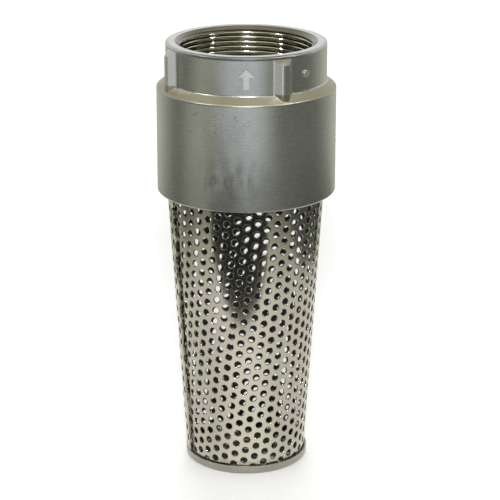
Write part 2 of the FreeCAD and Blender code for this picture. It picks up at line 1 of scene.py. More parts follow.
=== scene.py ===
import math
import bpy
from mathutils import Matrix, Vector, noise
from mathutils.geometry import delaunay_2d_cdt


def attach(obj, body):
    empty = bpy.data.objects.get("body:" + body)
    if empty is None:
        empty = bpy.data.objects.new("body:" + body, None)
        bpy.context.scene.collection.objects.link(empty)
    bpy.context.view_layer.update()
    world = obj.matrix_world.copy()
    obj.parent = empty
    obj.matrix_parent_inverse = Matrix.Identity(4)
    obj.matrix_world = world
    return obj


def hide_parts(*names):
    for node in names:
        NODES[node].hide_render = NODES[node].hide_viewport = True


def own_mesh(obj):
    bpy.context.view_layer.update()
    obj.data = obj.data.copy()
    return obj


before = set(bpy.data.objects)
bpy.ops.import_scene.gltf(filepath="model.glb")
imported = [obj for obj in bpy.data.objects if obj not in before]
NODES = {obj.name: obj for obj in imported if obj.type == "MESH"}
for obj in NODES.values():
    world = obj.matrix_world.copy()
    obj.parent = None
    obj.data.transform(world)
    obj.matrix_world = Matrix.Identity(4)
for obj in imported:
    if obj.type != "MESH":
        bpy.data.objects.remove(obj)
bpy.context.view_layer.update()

# A foot valve, standing on its strainer on a pale floor. The CAD nodes are kept, with procedural finishes.
# Two of them are drawn again in full: the perforated sheet, laid out flat and rolled up, and the spring.
# Everything is in metres; the front is -y, the axis is z and the valve stands on z = 0.

MM = 0.001
SCENE = bpy.context.scene


def add_object(name, data):
    made = bpy.data.objects.new(name, data)
    SCENE.collection.objects.link(made)
    return made


def ring_faces(bands, sides):
    """The quads of the bands between rings of vertices, each ring with so many sides."""
    faces = []
    for band in range(bands):
        low, high = band * sides, (band + 1) * sides
        for side in range(sides):
            after = (side + 1) % sides
            faces.append((low + side, low + after, high + after, high + side))
    return faces


# ---------------------------------------------------------------- camera

CAMERA_PLACE = Vector((0.0, -0.841, 0.3727))
CAMERA_DOWN = math.radians(18.23)
CAMERA_LENS = 144.6
CAMERA_SHIFT = 0.0074


def make_camera():
    data = bpy.data.cameras.new("camera")
    data.lens = CAMERA_LENS
    data.shift_x = CAMERA_SHIFT
    camera = add_object("camera", data)
    camera.location = CAMERA_PLACE
    camera.rotation_euler = (math.pi / 2 - CAMERA_DOWN, 0.0, 0.0)
    SCENE.camera = camera


make_camera()

# ---------------------------------------------------------------- node helpers

# Blender's mix node has one set of sockets for each kind of data; these are its colour ones.
MIX_FACTOR = 0
MIX_FIRST = 6
MIX_SECOND = 7
MIX_RESULT = 2


class Shader:
    """A material, and short calls that add its nodes. Masks run from 0 to 1."""

    def __init__(self, name, metallic=1.0):
        self.material = bpy.data.materials.new(name)
        self.material.use_nodes = True
        self.tree = self.material.node_tree
        self.surface = self.tree.nodes["Principled BSDF"]
        self.surface.inputs["Metallic"].default_value = metallic
        place = self.tree.nodes.new("ShaderNodeTexCoord")
        self.place = place.outputs["Object"]
        self.split = self.node("ShaderNodeSeparateXYZ", {0: self.place})
        self.x = self.split.outputs[0]
        self.y = self.split.outputs[1]
        self.z = self.split.outputs[2]
        across = self.math("ADD", self.times(self.x, self.x), self.times(self.y, self.y))
        self.radius = self.math("SQRT", across)

    def node(self, kind, inputs):
        made = self.tree.nodes.new(kind)
        for key, value in inputs.items():
            if isinstance(value, bpy.types.NodeSocket):
                self.tree.links.new(value, made.inputs[key])
            else:
                made.inputs[key].default_value = value
        return made

    def math(self, operation, a, b=0.0, clamp=False):
        made = self.node("ShaderNodeMath", {0: a, 1: b})
        made.operation = operation
        made.use_clamp = clamp
        return made.outputs[0]

    def times(self, first, *others):
        product = first
        for other in others:
            product = self.math("MULTIPLY", product, other)
        return product

    def between(self, value, low, high, soft):
        """1 where low < value < high, fading over soft."""
        rise = self.math("DIVIDE", self.math("SUBTRACT", value, low), soft, clamp=True)
        fall = self.math("DIVIDE", self.math("SUBTRACT", high, value), soft, clamp=True)
        return self.math("MULTIPLY", rise, fall)

    def scaled(self, x, y, z):
        """The object's coordinates, stretched."""
        made = self.node("ShaderNodeMapping", {"Vector": self.place, "Scale": (x, y, z)})
        return made.outputs[0]

    def turned(self, radial, along, around):
        """Coordinates that follow a turned surface: by radius, height and angle."""
        angle = self.math("ARCTAN2", self.y, self.x)
        made = self.node(
            "ShaderNodeCombineXYZ",
            {
                0: self.math("MULTIPLY", self.radius, radial),
                1: self.math("MULTIPLY", self.z, along),
                2: self.math("MULTIPLY", angle, around),
            },
        )
        return made.outputs[0]

    def noise(self, vector, scale, detail=3.0, rough=0.55, distortion=0.0):
        inputs = {"Vector": vector, "Scale": scale, "Detail": detail, "Roughness": rough}
        inputs["Distortion"] = distortion
        return self.node("ShaderNodeTexNoise", inputs).outputs["Fac"]

    def vector_noise(self, scale, reach):
        """A small wander in every direction."""
        made = self.node("ShaderNodeTexNoise", {"Vector": self.place, "Scale": scale})
        centred = self.node("ShaderNodeVectorMath", {0: made.outputs["Color"], 1: (0.5, 0.5, 0.5)})
        centred.operation = "SUBTRACT"
        scaled = self.node("ShaderNodeVectorMath", {0: centred.outputs[0], 1: (reach, reach, reach)})
        scaled.operation = "MULTIPLY"
        return scaled.outputs[0]

    def spots(self, vector, scale, low, high):
        """1 in small round spots."""
        made = self.node("ShaderNodeTexVoronoi", {"Vector": vector, "Scale": scale})
        return self.ramp(made.outputs["Distance"], low, high, 1.0, 0.0)

    def ramp(self, value, low, high, start=0.0, end=1.0):
        made = self.node("ShaderNodeMapRange", {0: value, 1: low, 2: high, 3: start, 4: end})
        return made.outputs[0]

    def mix(self, factor, first, second):
        made = self.tree.nodes.new("ShaderNodeMix")
        made.data_type = "RGBA"
        for key, value in ((MIX_FACTOR, factor), (MIX_FIRST, first), (MIX_SECOND, second)):
            if isinstance(value, bpy.types.NodeSocket):
                self.tree.links.new(value, made.inputs[key])
            elif isinstance(value, tuple):
                made.inputs[key].default_value = (*value, 1.0)
            else:
                made.inputs[key].default_value = value
        return made.outputs[MIX_RESULT]

    def blend(self, factor, first, second):
        """A number between first and second."""
        return self.math("ADD", first, self.math("MULTIPLY", factor, self.math("SUBTRACT", second, first)))

    def bump(self, height, distance):
        inputs = {"Height": height, "Distance": distance, "Strength": 1.0}
        return self.node("ShaderNodeBump", inputs).outputs[0]

    def finish(self, colour, roughness, normal=None):
        for key, value in (("Base Color", colour), ("Roughness", roughness), ("Normal", normal)):
            if isinstance(value, bpy.types.NodeSocket):
                self.tree.links.new(value, self.surface.inputs[key])
            elif isinstance(value, tuple):
                self.surface.inputs[key].default_value = (*value, 1.0)
            elif value is not None:
                self.surface.inputs[key].default_value = value
        return self.material


# ---------------------------------------------------------------- materials

# The casting's own sizes, for the marks and finishes that belong to one part of it.
NECK_RADIUS = 34.6 * MM
LUG_FOOT_RADIUS = 34.8 * MM
MARK_RADIUS = 34.9 * MM
SHOULDER_RADIUS = 39.0 * MM
BORE_RADIUS = 30.7 * MM
RIM_INNER_RADIUS = 33.2 * MM
SKIRT_LOW = 125.5 * MM
SKIRT_TOP = 152.0 * MM
SHOULDER_LOW = 169.5 * MM
SHOULDER_HIGH = 174.5 * MM
THREAD_TOP = 187.6 * MM
LUG_TOP = 187.6 * MM
RIM_LOW = 188.3 * MM
TOP_FACE = 189.93 * MM
PIPE_PITCH = 2.209 * MM
PIPE_GROOVE_Z = 172.227 * MM

# The strainer's cone, by its outer face, and the base's pan.
CONE_BASE = 25.83 * MM
CONE_SLOPE = 0.0636
# Where the painted shadow under the body's bottom edge begins on the sheet.
UNDER_BODY_SHADE_LOW = 122.2 * MM
PAN_INNER_RADIUS = 26.45 * MM

# How softly most masks end.
EDGE = 0.1 * MM


def on_front(s):
    """1 on the front third of the casting's side."""
    return s.ramp(s.y, -12.0 * MM, -20.0 * MM)


def pits(s):
    """Casting pits: clusters under the shoulder, and a few scattered elsewhere."""
    wander = s.vector_noise(900.0, 1.2 * MM)
    shaken = s.node("ShaderNodeVectorMath", {0: s.place, 1: wander}).outputs[0]
    under_shoulder = s.between(s.z, 154.0 * MM, 170.5 * MM, 6.0 * MM)
    clusters = s.times(s.ramp(s.noise(s.place, 95.0, 2.0), 0.52, 0.60), under_shoulder)
    scattered = s.ramp(s.noise(s.place, 60.0, 2.0), 0.66, 0.70)
    return s.times(s.spots(shaken, 560.0, 0.10, 0.24), s.math("MAXIMUM", clusters, scattered))


def nicks(s):
    """Bright nicks below the shoulder, left of the front."""
    found = s.ramp(s.noise(s.scaled(700.0, 700.0, 1500.0), 1.0, 3.0, 0.6, 0.8), 0.60, 0.66)
    band = s.between(s.z, 153.5 * MM, SHOULDER_LOW, 8.0 * MM)
    side = s.between(s.x, -20.0 * MM, 3.0 * MM, 6.0 * MM)
    return s.times(found, band, side, on_front(s))


def smudges(s):
    """Dark upright smudges low on the front."""
    found = s.ramp(s.noise(s.scaled(330.0, 330.0, 80.0), 1.0, 4.0, 0.65, 0.3), 0.44, 0.66)
    band = s.between(s.z, SKIRT_LOW, 150.0 * MM, 12.0 * MM)
    side = s.between(s.x, -24.0 * MM, 12.0 * MM, 10.0 * MM)
    return s.times(found, band, side, on_front(s))


def stain(s):
    """The dull upright stain left of the casting's front, stronger towards the bottom."""
    wander = s.times(s.math("SUBTRACT", s.noise(s.place, 75.0, 3.0), 0.5), 12.0 * MM)
    edge = s.math("ADD", s.x, wander)
    column = s.times(on_front(s), s.between(edge, -17.5 * MM, 1.0 * MM, 8.0 * MM))
    return s.times(column, s.ramp(s.z, 170.0 * MM, 128.0 * MM, 0.30, 0.72))


def thread_wave(s):
    """-1 at the pipe thread's grooves and 1 at its crests."""
    turn = s.math("DIVIDE", s.math("ARCTAN2", s.y, s.x), math.tau)
    rise = s.math("DIVIDE", s.math("SUBTRACT", s.z, PIPE_GROOVE_Z), PIPE_PITCH)
    phase = s.times(s.math("SUBTRACT", rise, turn), math.tau)
    return s.times(s.math("COSINE", phase), -1.0)


def worn_and_highlit_faces(s):
    """How bright the arrow and the dot are worn, with a painted highlight on them, and the painted
    highlight on the left flank of the front lug.
    """
    front = s.ramp(s.y, 0.0, -1.0 * MM)
    # The arrow and the dot: worn bright, and painted brighter still as their highlight.
    arrow = s.between(s.x, -4.6 * MM, 4.6 * MM, EDGE)
    dot = s.between(s.x, 22.5 * MM, 28.5 * MM, EDGE)
    marks = s.math("MAXIMUM", s.times(arrow, 0.5), s.times(dot, 0.95))
    raised = s.ramp(s.radius, MARK_RADIUS, MARK_RADIUS + 2 * EDGE)
    marks = s.times(marks, raised, s.between(s.z, 176.5 * MM, 185.6 * MM, EDGE))
    # Painted highlight on the left flank of the front lug.
    highlit_flank = s.between(s.x, 11.2 * MM, 16.4 * MM, 3 * EDGE)
    proud = s.ramp(s.radius, LUG_FOOT_RADIUS, LUG_FOOT_RADIUS + 3 * EDGE)
    highlit_flank = s.times(highlit_flank, proud, s.between(s.z, 174.0 * MM, LUG_TOP, 3 * EDGE))
    return s.times(front, s.math("MAXIMUM", marks, s.times(highlit_flank, 0.55)))


class CastRegions:
    """Masks of the casting's regions and of the marks that both its colour and its relief show."""

    def __init__(self, s):
        self.inside = s.ramp(s.radius, BORE_RADIUS, BORE_RADIUS - 2 * EDGE)
        self.top = s.ramp(s.z, TOP_FACE, TOP_FACE + 0.04 * MM)
        self.machined = s.math("MAXIMUM", self.inside, self.top)
        self.shoulder = s.times(
            s.between(s.z, SHOULDER_LOW, SHOULDER_HIGH, 0.6 * MM),
            s.between(s.radius, NECK_RADIUS, SHOULDER_RADIUS, 0.6 * MM),
        )
        self.rim = s.times(
            s.ramp(s.z, RIM_LOW, RIM_LOW + 4 * EDGE),
            s.ramp(s.radius, RIM_INNER_RADIUS, RIM_INNER_RADIUS + 4 * EDGE),
        )
        self.smooth = s.math("MAXIMUM", self.shoulder, self.rim)
        self.bore = s.times(self.inside, s.ramp(s.z, 169.0 * MM, 171.5 * MM))
        self.threads = s.times(self.bore, s.ramp(s.z, THREAD_TOP, THREAD_TOP - 4 * EDGE))
        self.pits = pits(s)
        self.nicks = nicks(s)


def cast_colour(s, at, clouds, streaks, wave):
    """The casting's colour: satin grey, stained low down, darker in the bore and olive in the threads;
    painted shade on the rim's front and in the thread's grooves, painted highlights on the front lug and
    the marks.
    """
    colour = s.mix(clouds, (0.44, 0.445, 0.42), (0.56, 0.565, 0.54))
    colour = s.mix(s.ramp(streaks, 0.35, 0.70, 0.0, 0.5), colour, (0.62, 0.62, 0.60))
    colour = s.mix(s.ramp(s.z, SKIRT_TOP, 126.0 * MM, 0.0, 0.45), colour, (0.27, 0.27, 0.24))
    colour = s.mix(stain(s), colour, (0.15, 0.15, 0.135))
    colour = s.mix(s.times(smudges(s), 0.65), colour, (0.13, 0.12, 0.10))
    colour = s.mix(s.times(at.pits, 0.7), colour, (0.14, 0.14, 0.12))
    colour = s.mix(s.times(at.nicks, 0.6), colour, (0.85, 0.85, 0.82))
    colour = s.mix(s.times(at.shoulder, 0.8), colour, (0.32, 0.295, 0.205))
    # The marks, worn bright with a painted highlight, and the painted highlight on the front lug's flank.
    colour = s.mix(worn_and_highlit_faces(s), colour, (0.88, 0.88, 0.86))
    colour = s.mix(at.top, colour, (0.60, 0.61, 0.61))
    # Painted shade: the rim's front is painted darker, in place of a weaker highlight there.
    shaded_front_rim = s.times(at.rim, s.ramp(s.y, -20.0 * MM, -31.0 * MM))
    colour = s.mix(s.times(shaded_front_rim, 0.85), colour, (0.12, 0.12, 0.11))
    colour = s.mix(at.bore, colour, (0.27, 0.265, 0.24))
    # The pipe thread: olive, with its grooves painted darker than its crests as painted shade.
    crests = s.mix(clouds, (0.53, 0.48, 0.34), (0.62, 0.60, 0.50))
    groove_shaded_rows = s.mix(s.ramp(wave, -0.5, 0.4), (0.44, 0.46, 0.38), crests)
    return s.mix(at.threads, colour, groove_shaded_rows)


def cast_relief(s, at, lumps, streaks, wave):
    """The casting's fine relief: brushed and pitted outside, tool lines inside, rounded thread crests."""
    grain = s.noise(s.place, 1500.0, 3.0)
    height = s.math("ADD", s.times(grain, 0.07), s.times(lumps, 0.26))
    height = s.math("SUBTRACT", height, s.times(at.pits, 1.4))
    height = s.math("ADD", height, s.times(at.nicks, 0.9))
    height = s.math("ADD", height, s.times(streaks, 0.20))
    height = s.times(height, s.blend(s.math("MAXIMUM", at.machined, at.smooth), 1.0, 0.10))
    tool_lines = s.noise(s.turned(9000.0, 9000.0, 0.5), 1.0, 2.0)
    height = s.math("ADD", height, s.times(tool_lines, at.machined, 0.15))
    return s.math("ADD", height, s.times(wave, at.threads, 4.0))


def cast_steel():
    """Brushed stainless casting, machined on its top face, bore and thread."""
    s = Shader("cast_steel")
    at = CastRegions(s)
    lumps = s.noise(s.place, 420.0, 3.0)
    clouds = s.noise(s.place, 46.0, 3.0)
    streaks = s.noise(s.turned(0.0, 2400.0, 9.0), 1.0, 4.0, 0.6)
    wave = thread_wave(s)
    satin = s.ramp(streaks, 0.3, 0.7, 0.23, 0.34)
    turned = s.ramp(lumps, 0.3, 0.7, 0.17, 0.27)
    tapped = s.ramp(lumps, 0.3, 0.7, 0.07, 0.13)
    roughness = s.blend(at.machined, satin, s.blend(at.threads, turned, tapped))
    roughness = s.blend(at.smooth, roughness, 0.42)
    relief = cast_relief(s, at, lumps, streaks, wave)
    return s.finish(cast_colour(s, at, clouds, streaks, wave), roughness, s.bump(relief, 0.05 * MM))


def cast_guide():
    """The same casting quality, unpolished, inside the valve."""
    s = Shader("cast_guide")
    grain = s.noise(s.place, 1900.0, 3.0)
    clouds = s.noise(s.place, 60.0, 3.0)
    holes = s.spots(s.place, 520.0, 0.12, 0.3)
    colour = s.mix(clouds, (0.34, 0.34, 0.32), (0.48, 0.48, 0.46))
    colour = s.mix(s.times(holes, 0.35), colour, (0.17, 0.17, 0.16))
    height = s.math("SUBTRACT", grain, s.times(holes, 0.6))
    return s.finish(colour, s.ramp(grain, 0.3, 0.7, 0.40, 0.55), s.bump(height, 0.06 * MM))


def turned_steel():
    """Lathe-turned stainless, with fine tool lines round its axis."""
    s = Shader("turned_steel")
    lines = s.noise(s.turned(7000.0, 7000.0, 0.6), 1.0, 2.0)
    clouds = s.noise(s.place, 90.0, 3.0)
    scratches = s.ramp(s.noise(s.scaled(900.0, 90.0, 300.0), 1.0, 3.0), 0.60, 0.68)
    colour = s.mix(clouds, (0.52, 0.52, 0.50), (0.62, 0.62, 0.60))
    colour = s.mix(s.times(scratches, 0.3), colour, (0.75, 0.75, 0.74))
    return s.finish(colour, s.ramp(lines, 0.3, 0.7, 0.20, 0.32), s.bump(lines, 0.02 * MM))


def spring_steel():
    """Drawn stainless wire, with faint marks along it."""
    s = Shader("spring_steel")
    marks = s.noise(s.place, 1500.0, 3.0)
    clouds = s.noise(s.place, 150.0, 2.0)
    colour = s.mix(clouds, (0.50, 0.50, 0.49), (0.64, 0.63, 0.61))
    return s.finish(colour, s.ramp(marks, 0.3, 0.7, 0.18, 0.30), s.bump(marks, 0.02 * MM))


def sheet_steel():
    """Polished stainless sheet, with fine scuffs from rolling and handling; its inner face is left dull and
    painted dark as shade, and a painted shadow runs under the body's edge.
    """
    s = Shader("sheet_steel")
    clouds = s.noise(s.place, 38.0, 3.0)
    mottle = s.noise(s.place, 300.0, 3.0)
    scuffs = s.noise(s.turned(200.0, 260.0, 190.0), 1.0, 4.0, 0.6)
    scratches = s.ramp(s.noise(s.scaled(1400.0, 1400.0, 120.0), 1.0, 2.0), 0.64, 0.70)
    tints = s.noise(s.place, 55.0, 2.0, 0.5, 0.6)
    outer_face = s.math("ADD", s.times(s.z, CONE_SLOPE), CONE_BASE)
    # The inner face: left dull, and painted dark as shade inside the strainer.
    dull_shaded_inner = s.ramp(s.math("SUBTRACT", s.radius, outer_face), -0.45 * MM, -0.70 * MM)
    # Painted shadow under the body's bottom edge, across the top of the sheet.
    under_body_shade = s.ramp(s.z, UNDER_BODY_SHADE_LOW, UNDER_BODY_SHADE_LOW + 1.2 * MM)
    colour = s.mix(clouds, (0.41, 0.39, 0.325), (0.49, 0.47, 0.40))
    colour = s.mix(s.ramp(mottle, 0.4, 0.8, 0.0, 0.25), colour, (0.38, 0.365, 0.30))
    colour = s.mix(s.ramp(tints, 0.50, 0.66, 0.0, 0.5), colour, (0.455, 0.465, 0.375))
    colour = s.mix(s.ramp(tints, 0.50, 0.36, 0.0, 0.5), colour, (0.475, 0.435, 0.405))
    # The painted shadow under the body's edge, then the inner face painted dark as shade.
    colour = s.mix(s.times(under_body_shade, 0.75), colour, (0.12, 0.115, 0.10))
    colour = s.mix(dull_shaded_inner, colour, (0.10, 0.095, 0.085))
    roughness = s.ramp(scuffs, 0.3, 0.75, 0.10, 0.18)
    roughness = s.math("ADD", roughness, s.times(scratches, 0.06))
    roughness = s.blend(dull_shaded_inner, roughness, 0.5)
    height = s.math("ADD", mottle, s.times(scratches, 0.3))
    return s.finish(colour, roughness, s.bump(height, 0.008 * MM))


def pressed_steel():
    """Satin pressed sheet, with draw lines up its wall; its inner face is left dull and painted dark as
    shade.
    """
    s = Shader("pressed_steel")
    draw = s.noise(s.turned(120.0, 160.0, 240.0), 1.0, 3.0)
    clouds = s.noise(s.place, 70.0, 3.0)
    inside = s.ramp(s.radius, PAN_INNER_RADIUS, PAN_INNER_RADIUS - EDGE)
    # The inner face: left dull, and painted dark as shade inside the pan.
    dull_shaded_inner = s.times(inside, s.ramp(s.z, 0.6 * MM, 0.7 * MM))
    colour = s.mix(clouds, (0.31, 0.30, 0.255), (0.40, 0.385, 0.335))
    colour = s.mix(dull_shaded_inner, colour, (0.10, 0.095, 0.085))
    roughness = s.blend(dull_shaded_inner, s.ramp(draw, 0.3, 0.7, 0.24, 0.38), 0.55)
    return s.finish(colour, roughness, s.bump(draw, 0.03 * MM))


def weld_steel():
    """Weld beads, rippled and a little straw-coloured."""
    s = Shader("weld_steel")
    ripples = s.noise(s.turned(600.0, 600.0, 60.0), 1.0, 2.0, distortion=0.6)
    clouds = s.noise(s.place, 260.0, 3.0)
    colour = s.mix(clouds, (0.38, 0.34, 0.27), (0.55, 0.53, 0.49))
    return s.finish(colour, s.ramp(ripples, 0.3, 0.7, 0.28, 0.45), s.bump(ripples, 0.12 * MM))


def white_ptfe():
    """Skived white PTFE."""
    s = Shader("white_ptfe", 0.0)
    lines = s.noise(s.turned(5000.0, 5000.0, 1.0), 1.0, 2.0)
    clouds = s.noise(s.place, 120.0, 3.0)
    colour = s.mix(clouds, (0.80, 0.80, 0.77), (0.88, 0.88, 0.86))
    return s.finish(colour, s.ramp(lines, 0.3, 0.7, 0.38, 0.50), s.bump(lines, 0.02 * MM))


def nitrile_rubber():
    """Moulded black rubber."""
    s = Shader("nitrile_rubber", 0.0)
    grain = s.noise(s.place, 2400.0, 3.0)
    clouds = s.noise(s.place, 80.0, 3.0)
    colour = s.mix(clouds, (0.018, 0.018, 0.018), (0.035, 0.034, 0.033))
    return s.finish(colour, s.ramp(grain, 0.3, 0.7, 0.50, 0.68), s.bump(grain, 0.04 * MM))


MATERIALS = {
    "cast_steel": cast_steel(),
    "cast_guide": cast_guide(),
    "turned_steel": turned_steel(),
    "spring_steel": spring_steel(),
    "sheet_steel": sheet_steel(),
    "pressed_steel": pressed_steel(),
    "weld_steel": weld_steel(),
    "white_ptfe": white_ptfe(),
    "nitrile_rubber": nitrile_rubber(),
}
FINISHES = {
    "cast_steel": ["valve_body"],
    "cast_guide": ["stem_guide"],
    "turned_steel": [
        "valve_stem",
        "valve_disc",
        "seal_retainer",
        "stem_nut",
        "seat_ring",
        "strainer_collar",
    ],
    "spring_steel": ["spring_washer", "return_spring"],
    "sheet_steel": ["strainer_screen"],
    "pressed_steel": ["base_cap"],
    "weld_steel": ["base_tack_welds", "collar_tack_welds"],
    "white_ptfe": ["guide_bush", "body_gasket"],
    "nitrile_rubber": ["disc_seal"],
}


def dress_nodes():
    for finish, names in FINISHES.items():
        for name in names:
            slots = NODES[name].material_slots
            for slot in slots:
                slot.material = MATERIALS[finish]
            if not slots:
                NODES[name].data.materials.append(MATERIALS[finish])


dress_nodes()

# ---------------------------------------------------------------- strainer screen

# The sheet: a lattice of holes, punched flat, then rolled and lapped. Azimuths are in degrees.
# The lattice is turned a degree more than the CAD sheet's, so that fewer near and far holes line up.
SHEET = 0.8 * MM
SCREEN_TOP = 126.0 * MM
HALF_ANGLE = math.atan(CONE_SLOPE)
NARROWING = math.sin(HALF_ANGLE)
APEX = CONE_BASE / NARROWING
LOW = SHEET / math.cos(HALF_ANGLE)
HIGH = SCREEN_TOP / math.cos(HALF_ANGLE)

HOLE = 1.5 * MM
HOLE_ROUNDING = 0.22 * MM
HOLE_MARGIN = 0.9 * MM
HOLE_SIDES = 18
PITCH = 5.086 * MM
COLUMN = PITCH * math.sin(math.radians(60))
LATTICE_TURN = math.radians(7.65)
LATTICE_HEIGHT = 60.0 * MM
LATTICE_ACROSS = 1.65 * MM
LATTICE_ALONG = 0.14 * MM

LAP = 9.0 * MM
LAP_HEIGHT = 60.0 * MM
LAP_TURN = math.degrees(LAP / (CONE_BASE + CONE_SLOPE * LAP_HEIGHT))
JOGGLE = 4.0 * MM
SEAM = -66.5
SEAM_END = SEAM + 360
SEAM_START = SEAM - LAP_TURN
SEAM_WANDER = 0.9
SEAM_GAP = 0.25 * MM
SEAM_GAP_REACH = 3.0 * MM
SHEET_WAVE = 0.05 * MM
SHEET_WAVES_PER_METRE = 60.0
EDGE_STEP = 1.4 * MM
SAME_POINT = 1e-7


def flat(azimuth, slant):
    """A point of the flat sheet: azimuth in degrees on the cone, slant along its generator."""
    turn = math.radians(azimuth) * NARROWING
    return Vector(((APEX + slant) * math.sin(turn), (APEX + slant) * math.cos(turn)))


def unflat(point):
    """The azimuth and slant of a point of the flat sheet."""
    azimuth = math.degrees(math.atan2(point[0], point[1]) / NARROWING)
    return azimuth, math.hypot(point[0], point[1]) - APEX


def holes_of_sheet():
    """The centres of the holes, on the flat sheet."""
    room = HOLE + HOLE_MARGIN
    edge = math.degrees(room / CONE_BASE)
    reach = APEX + HIGH
    columns = int(reach / COLUMN)
    centres = []
    for i in range(-columns, columns + 1):
        across = LATTICE_ACROSS + i * COLUMN
        for j in range(-int(2 * reach / PITCH), int(reach / PITCH) + 1):
            along = LATTICE_ALONG + (j + 0.5 * (i % 2)) * PITCH
            x = across * math.cos(LATTICE_TURN) + along * math.sin(LATTICE_TURN)
            y = along * math.cos(LATTICE_TURN) - across * math.sin(LATTICE_TURN) + APEX + LATTICE_HEIGHT
            azimuth, slant = unflat((x, y))
            in_height = LOW + room < slant < HIGH - room
            if in_height and SEAM_START + edge < azimuth < SEAM_END - edge:
                centres.append(Vector((x, y)))
    return centres


def seam_wave(slant):
    """How far the outer end's edge wanders, in degrees: a long wave and a short one."""
    return 0.5 * math.sin(slant / MM * 0.31) + 0.35 * math.sin(slant / MM * 0.83 + 1.0)


def lift(azimuth, slant):
    """How far the sheet's outer face stands off the cone: the end that laps outside, and slight waves."""
    radius = CONE_BASE + CONE_SLOPE * slant
    distance = math.radians(SEAM_END - azimuth) * radius
    step = min(max((distance - LAP) / JOGGLE, 0.0), 1.0)
    over = 1.0 - step * step * (3.0 - 2.0 * step)
    gap = SEAM_GAP * max(0.0, math.sin(slant / MM * 0.22)) * max(0.0, 1.0 - distance / SEAM_GAP_REACH)
    turn = math.radians(azimuth)
    place = Vector((math.sin(turn) * radius, math.cos(turn) * radius, slant))
    wave = noise.noise(place * SHEET_WAVES_PER_METRE) * SHEET_WAVE
    return over * SHEET + gap + wave


def rolled(point, depth):
    """The place on the rolled sheet, depth below its outer face, and the directions there."""
    azimuth, slant = unflat(point)
    angle = math.radians(azimuth - 90.0)
    out = Vector((math.cos(angle), math.sin(angle), 0.0))
    around = Vector((-math.sin(angle), math.cos(angle), 0.0))
    outward = out * math.cos(HALF_ANGLE) - Vector((0, 0, math.sin(HALF_ANGLE)))
    upward = out * math.sin(HALF_ANGLE) + Vector((0, 0, math.cos(HALF_ANGLE)))
    z = slant * math.cos(HALF_ANGLE)
    place = out * (CONE_BASE + CONE_SLOPE * z) + Vector((0, 0, z))
    place += outward * (lift(azimuth, slant) - depth)
    return place, outward, upward, around


def sheet_border():
    """The flat sheet's outline, in short steps: top edge, outer end, bottom edge, inner end."""
    sweep = SEAM_END - SEAM_START
    turns = int(math.radians(sweep) * CONE_BASE / EDGE_STEP)
    rises = int((HIGH - LOW) / EDGE_STEP)
    border = [flat(SEAM_START + sweep * k / turns, HIGH) for k in range(turns)]
    for k in range(rises):
        slant = HIGH + (LOW - HIGH) * k / rises
        border.append(flat(SEAM_END + seam_wave(slant), slant))
    border += [flat(SEAM_END - sweep * k / turns, LOW) for k in range(turns)]
    border += [flat(SEAM_START, LOW + (HIGH - LOW) * k / rises) for k in range(rises)]
    return border


def spokes():
    """The directions from a hole's centre to its corners."""
    turns = (math.tau * k / HOLE_SIDES for k in range(HOLE_SIDES))
    return [Vector((math.cos(turn), math.sin(turn))) for turn in turns]


def lattice_gaps(centres):
    """Points midway between three holes, so that the triangles there are even."""
    side = Vector((math.cos(LATTICE_TURN), -math.sin(LATTICE_TURN))) * (COLUMN / 3 * 2)
    gaps = []
    for centre in centres:
        for corner in (centre + side, centre - side):
            azimuth, slant = unflat(corner)
            if SEAM_START + 1 < azimuth < SEAM_END - 1 and LOW + MM < slant < HIGH - MM:
                gaps.append(corner)
    return gaps


def loop_edges(first, count):
    return [(first + k, first + (k + 1) % count) for k in range(count)]


def in_sheet(point):
    azimuth, slant = unflat(point)
    return SEAM_START < azimuth < SEAM_END + SEAM_WANDER and LOW < slant < HIGH


class FlatSheet:
    """The flat sheet cut into triangles round its holes."""

    def __init__(self):
        self.centres = holes_of_sheet()
        border = sheet_border()
        points = list(border)
        edges = loop_edges(0, len(border))
        firsts = []
        for centre in self.centres:
            firsts.append(len(points))
            edges += loop_edges(len(points), HOLE_SIDES)
            points += [centre + direction * (HOLE + HOLE_ROUNDING) for direction in spokes()]
        points += lattice_gaps(self.centres)
        found = delaunay_2d_cdt(points, edges, [], 0, SAME_POINT)
        self.points = found[0]
        index = [0] * len(points)
        for new, sources in enumerate(found[3]):
            for old in sources:
                index[old] = new
        self.border = index[: len(border)]
        self.rims = [index[first : first + HOLE_SIDES] for first in firsts]
        self.triangles = self.solid_triangles(found[2])

    def solid_triangles(self, triangles):
        """Without the ones that fill a hole or the hollows of the wavy end."""
        hole_of = {corner: number for number, rim in enumerate(self.rims) for corner in rim}
        on_border = set(self.border)
        kept = []
        for triangle in triangles:
            owners = {hole_of.get(corner, -1) for corner in triangle}
            if len(owners) == 1 and -1 not in owners:
                continue
            middle = sum((Vector(self.points[corner]) for corner in triangle), Vector((0, 0))) / 3
            if on_border.issuperset(triangle) and not in_sheet(middle):
                continue
            kept.append(triangle)
        return kept


class Shell:
    """Vertices with normals, and faces that carry their own corner normals."""

    def __init__(self):
        self.vertices = []
        self.normals = []
        self.faces = []
        self.corner_normals = []

    def vertex(self, place, normal):
        self.vertices.append(place)
        self.normals.append(normal)
        return len(self.vertices) - 1

    def face(self, corners, normals=None):
        self.faces.append(tuple(corners))
        self.corner_normals.extend(normals or [self.normals[corner] for corner in corners])

    def mesh(self, name, material):
        mesh = bpy.data.meshes.new(name)
        mesh.from_pydata([tuple(vertex) for vertex in self.vertices], [], self.faces)
        mesh.validate()
        mesh.shade_smooth()
        mesh.normals_split_custom_set([tuple(normal.normalized()) for normal in self.corner_normals])
        mesh.materials.append(material)
        return mesh


